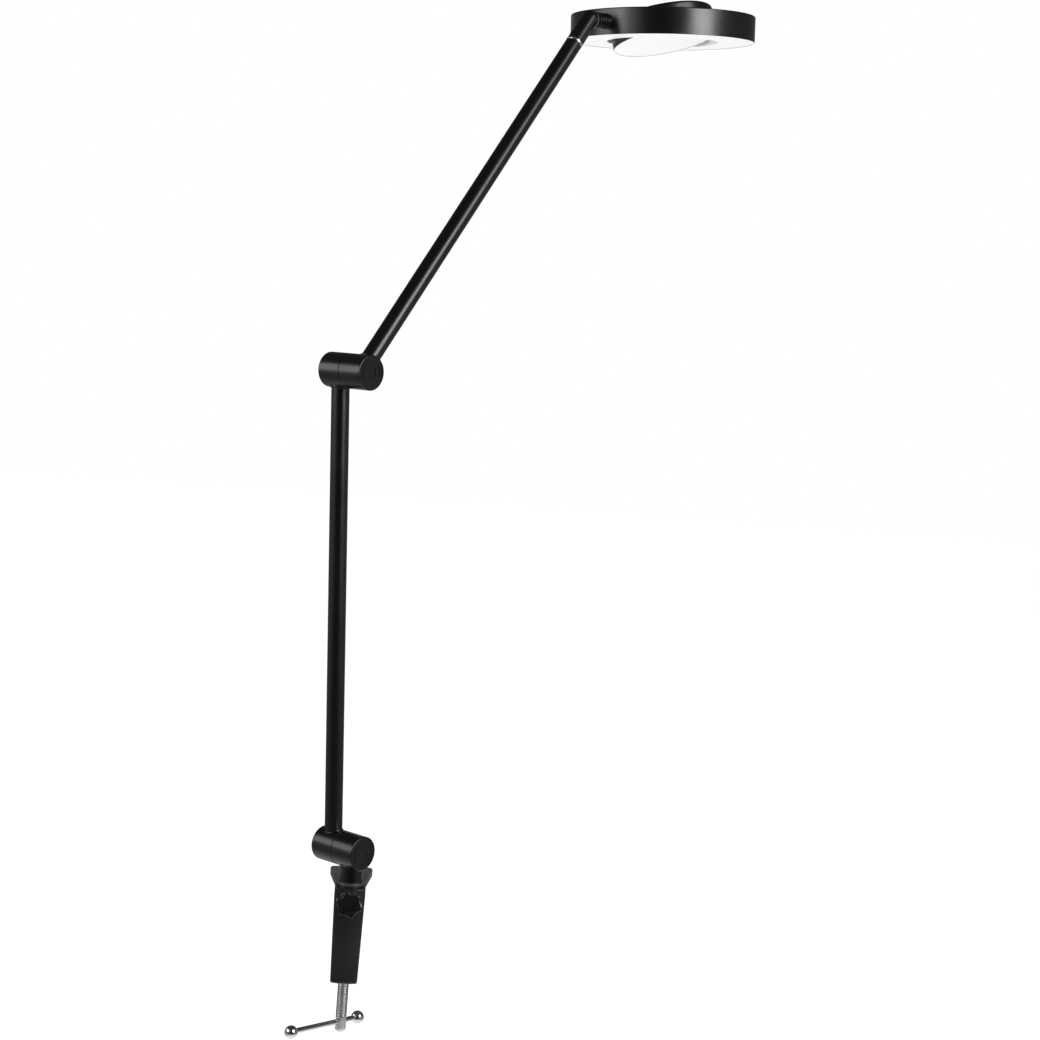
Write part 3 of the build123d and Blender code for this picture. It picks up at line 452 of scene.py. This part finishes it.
# The screw's plain lower end is brighter than its thread.
bright_end = (0, 0, bar_z + BRIGHT_BELOW)
second_finish(plated_thread, bright_end, Vector((0, 0, -1)), SOFT, colour=END_METAL)
screw = threaded_screw()
cut(screw, rod("hole", Vector((0, 0, bar_z)), bar_way, HOLE_R, HOLE_REACH, looks["bright_chrome"]))
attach(screw, "clamp_screw")
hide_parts("clamp_screw")

# ------------------------------------------------------------------ camera, fitted to the photograph
CAMERA_AT = (0.00013, -1.7539, 0.4906)
CAMERA_RIGHT = Vector((0.99477, -0.06647, 0.07752))
CAMERA_UP = Vector((-0.07144, 0.08950, 0.99342))
CAMERA_FORWARD = Vector((0.07298, 0.99376, -0.08429))
camera = bpy.data.objects.new("camera", bpy.data.cameras.new("camera"))
scene.collection.objects.link(camera)
place = Matrix((CAMERA_RIGHT, CAMERA_UP, -CAMERA_FORWARD)).transposed().to_4x4()
place.translation = CAMERA_AT
camera.matrix_world = place
camera.data.sensor_width = 36
camera.data.lens = 67.56
camera.data.clip_start, camera.data.clip_end = 0.05, 60
scene.camera = camera

# ------------------------------------------------------------------ softboxes
CENTRE = (0.1, 0.1, 0.5)        # what the softboxes look at
SOFTBOXES = (                   # name; azimuth, distance and height; size across and up; radiance
    ("key_softbox", (45, 2.2, 1.12), (1.0, 1.4), 8.2),
    ("key_top", (63, 2.2, 1.75), (0.6, 1.3), 3.0),
    ("fill_softbox", (-76, 2.2, 0.9), (1.7, 1.15), 2.3),
    ("fill_core", (-61, 2.1, 0.9), (0.55, 1.1), 3.0),
    ("fill_edge", (-43, 2.2, 0.9), (0.6, 1.3), 0.9),
)
BOUNCE_SIZE, BOUNCE_RADIANCE = (3.4, 3.4), 0.94     # light that the floor sends up


def softbox(name, at, target, size, radiance):
    """A flat soft light that looks at a point. Radiance is in W/(m2 sr)."""
    width, height = size
    data = bpy.data.lights.new(name, "AREA")
    data.shape = "RECTANGLE"
    data.size, data.size_y = width, height
    data.energy = radiance * width * height * math.pi
    light = bpy.data.objects.new(name, data)
    light.location = at
    light.rotation_mode = "QUATERNION"
    light.rotation_quaternion = (Vector(at) - Vector(target)).to_track_quat("Z", "Y")
    light.visible_camera = False
    scene.collection.objects.link(light)
    return light


def around(azimuth, distance, height):
    """A point round the lamp: azimuth 0 is in front, and positive to the right."""
    a = math.radians(azimuth)
    return (CENTRE[0] + distance * math.sin(a), CENTRE[1] - distance * math.cos(a), height)


for name, place, size, radiance in SOFTBOXES:
    softbox(name, around(*place), CENTRE, size, radiance)

# ------------------------------------------------------------------ floor and world
# What glossy surfaces see of the studio, from the camera's side at 0 to the backdrop at 1.
ROOM = (
    (0.065, 0.03), (0.145, 0.08), (0.25, 0.20), (0.50, 0.30), (0.67, 0.27), (0.82, 0.15),
    (0.92, 0.22), (0.96, 0.42), (0.983, 0.60), (0.995, 1.0),
)
# What they see of the floor, outwards from its middle to POOL_REACH, and where the room takes over.
POOL = ((0.10, 1.0), (0.22, 0.40), (0.40, 0.13), (0.8, 0.02))
POOL_REACH, POOL_FADE = 5, (1.2, 3.5)
CEILING, CEILING_RISE = 0.06, (-0.05, 0.32)
DIFFUSE_LEVEL = 0.30            # the world's light on the object
FLOOR_GREYS = (0.85, 0.87)
FLOOR_GLOW = 0.76               # lifts the lit floor to white for the camera, and keeps the shadow


def room(tree, towards):
    """The room's level: towards is 1 at the backdrop, and -1 on the camera's side."""
    stops = [(at, grey(level)) for at, level in ROOM]
    return ramp(tree, spread(tree, towards, 0, 1, -1, 1), stops)


def floor_material():
    """White to the camera, pale to the light, and the pool and the room to gloss."""
    material, tree, bsdf = shader("floor", grey(0.86), 0.8)
    bsdf.inputs["Specular IOR Level"].default_value = 0.1
    shade = tint(tree, noise(tree, 3, 4), *map(grey, FLOOR_GREYS))
    tree.links.new(shade, bsdf.inputs["Base Color"])
    rays = tree.nodes.new("ShaderNodeLightPath")
    seen = add(tree, "Math", {0: rays.outputs["Is Camera Ray"], 1: FLOOR_GLOW}, "MULTIPLY")
    bsdf.inputs["Emission Color"].default_value = (1, 1, 1, 1)
    tree.links.new(seen.outputs[0], bsdf.inputs["Emission Strength"])

    where = tree.nodes.new("ShaderNodeTexCoord").outputs["Object"]
    far = add(tree, "VectorMath", {0: where, 1: POOL_AT}, "DISTANCE").outputs["Value"]
    stops = [(at, grey(level)) for at, level in POOL]
    pool = ramp(tree, spread(tree, far, 0, 1, 0, POOL_REACH), stops)
    offset = add(tree, "VectorMath", {0: where, 1: POOL_AT}, "SUBTRACT").outputs["Vector"]
    outward = add(tree, "VectorMath", {0: offset}, "NORMALIZE").outputs["Vector"]
    edge = room(tree, facing(tree, outward, (BACKDROP_X, BACKDROP_Y, 0)))
    shown = blend(tree, spread(tree, far, 0, 1, *POOL_FADE), pool, edge)
    glow = add(tree, "Emission", {"Color": shown})
    sockets = {"Fac": seen_in_gloss(tree, rays), 1: bsdf.outputs[0], 2: glow.outputs[0]}
    pick = add(tree, "MixShader", sockets)
    tree.links.new(pick.outputs[0], tree.nodes["Material Output"].inputs["Surface"])
    return material


corners = ((-1, -1), (1, -1), (1, 1), (-1, 1))
verts = [(FLOOR_HALF * x, FLOOR_HALF * y, FLOOR_Z) for x, y in corners]
floor = new_mesh("floor", verts, [(0, 1, 2, 3)], floor_material(), smooth=False)
bounce_at = (CENTRE[0], CENTRE[1], FLOOR_Z + 0.01)
bounce = softbox("floor_bounce", bounce_at, (*CENTRE[:2], 1), BOUNCE_SIZE, BOUNCE_RADIANCE)
bounce.visible_glossy = False

world = bpy.data.worlds.new("studio")
scene.world = world
world.use_nodes = True
world.cycles.sampling_method = "NONE"
tree = world.node_tree
rays = tree.nodes.new("ShaderNodeLightPath")
where = tree.nodes.new("ShaderNodeTexCoord").outputs["Generated"]
walls = room(tree, facing(tree, where, (BACKDROP_X, BACKDROP_Y, 0.05)))
height = add(tree, "SeparateXYZ", {0: where}).outputs["Z"]
ceiling = blend(tree, spread(tree, height, 0, 1, *CEILING_RISE), walls, CEILING)
indirect = blend(tree, seen_in_gloss(tree, rays), DIFFUSE_LEVEL, ceiling)
sky = blend(tree, rays.outputs["Is Camera Ray"], indirect, 1.0)
background = tree.nodes["Background"]
tree.links.new(sky, background.inputs["Color"])
background.inputs["Strength"].default_value = 1

scene.view_settings.view_transform = "Standard"
